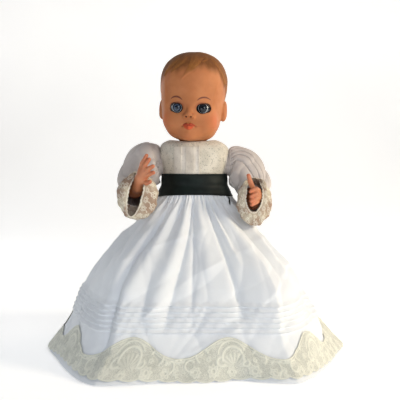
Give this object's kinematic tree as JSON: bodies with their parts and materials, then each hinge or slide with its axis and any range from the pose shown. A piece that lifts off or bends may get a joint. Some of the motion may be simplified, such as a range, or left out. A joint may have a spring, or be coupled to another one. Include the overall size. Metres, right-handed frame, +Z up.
{
  "type": "baby doll in a long gown",
  "caption": "Standing baby doll with moulded hair and sleep eyes, in a long white gown with lace hem and cuffs, hem tucks and a dark green satin sash.",
  "frame": {"origin": "middle of the circle that the gown's hem makes on the surface the doll stands on", "axes": "+Z up, -Y the way the doll faces, +X to the doll's left"},
  "size_m": [0.4792, 0.4792, 0.4999],
  "materials": {
    "skin": "satin moulded plastic with painted blush and lips",
    "body_plastic": "plain moulded plastic",
    "eye_white": "glossy ball",
    "iris_blue": "glossy blue-grey iris with a dark pupil",
    "iris_dark": "glossy dark iris",
    "lash": "dark bristle",
    "wire_metal": "plain steel",
    "weight_metal": "dull cast slug",
    "bodice_cloth": "cream cotton with pintucks",
    "white_cotton": "crisp white cotton",
    "petticoat_cotton": "white cotton lawn",
    "lace": "ecru machine lace on net",
    "green_satin": "dark bottle-green satin ribbon",
    "button": "small pearly buttons",
    "bootee_knit": "knitted cotton"
  },
  "bodies": {
    "torso": {"torso_front": "body_plastic", "torso_back": "body_plastic", "bodice": "bodice_cloth", "bodice_panel": "bodice_cloth", "neck_ruffle": "bodice_cloth", "armhole_piping_left": "white_cotton", "armhole_piping_right": "white_cotton", "back_buttons": "button", "sash": "green_satin", "sash_bow": "green_satin", "sash_tail_left": "green_satin", "sash_tail_right": "green_satin", "skirt": "white_cotton", "hem_lace": "lace", "petticoat": "petticoat_cotton"},
    "head": {"head_shell": "skin", "eye_bracket": "wire_metal"},
    "eyes": {"eyeball_left": "eye_white", "eyeball_right": "eye_white", "iris_left": "iris_dark", "iris_right": "iris_blue", "eyelid_left": "skin", "eyelid_right": "skin", "lashes_left": "lash", "lashes_right": "lash", "eye_rocker": "wire_metal", "eye_weight": "weight_metal"},
    "left_arm": {"arm_left": "skin", "sleeve_left": "white_cotton", "cuff_lace_left": "lace"},
    "right_arm": {"arm_right": "skin", "sleeve_right": "white_cotton", "cuff_lace_right": "lace"},
    "left_leg": {"leg_left": "skin", "bootee_left": "bootee_knit"},
    "right_leg": {"leg_right": "skin", "bootee_right": "bootee_knit"}
  },
  "joints": [
    {"name": "head_turn", "type": "hinge", "parent": "torso", "child": "head", "pos_m": [-0.003, 0, 0.334], "axis": [0, 0, 1], "range_deg": [-60, 60]},
    {"name": "eye_rock", "type": "hinge", "parent": "head", "child": "eyes", "pos_m": [-0.00578, -0.0395, 0.40094], "axis": [0.9893, -0.139, -0.0436], "range_deg": [0, 62]},
    {"name": "left_shoulder", "type": "hinge", "parent": "torso", "child": "left_arm", "pos_m": [0.0525, 0, 0.31], "axis": [-1, 0, 0], "range_deg": [0, 60]},
    {"name": "right_shoulder", "type": "hinge", "parent": "torso", "child": "right_arm", "pos_m": [-0.0525, 0, 0.31], "axis": [-1, 0, 0], "range_deg": [0, 60]},
    {"name": "left_hip", "type": "hinge", "parent": "torso", "child": "left_leg", "pos_m": [0.033, 0, 0.184], "axis": [-1, 0, 0], "range_deg": [-20, 50]},
    {"name": "right_hip", "type": "hinge", "parent": "torso", "child": "right_leg", "pos_m": [-0.033, 0, 0.184], "axis": [-1, 0, 0], "range_deg": [-20, 50]}
  ]
}
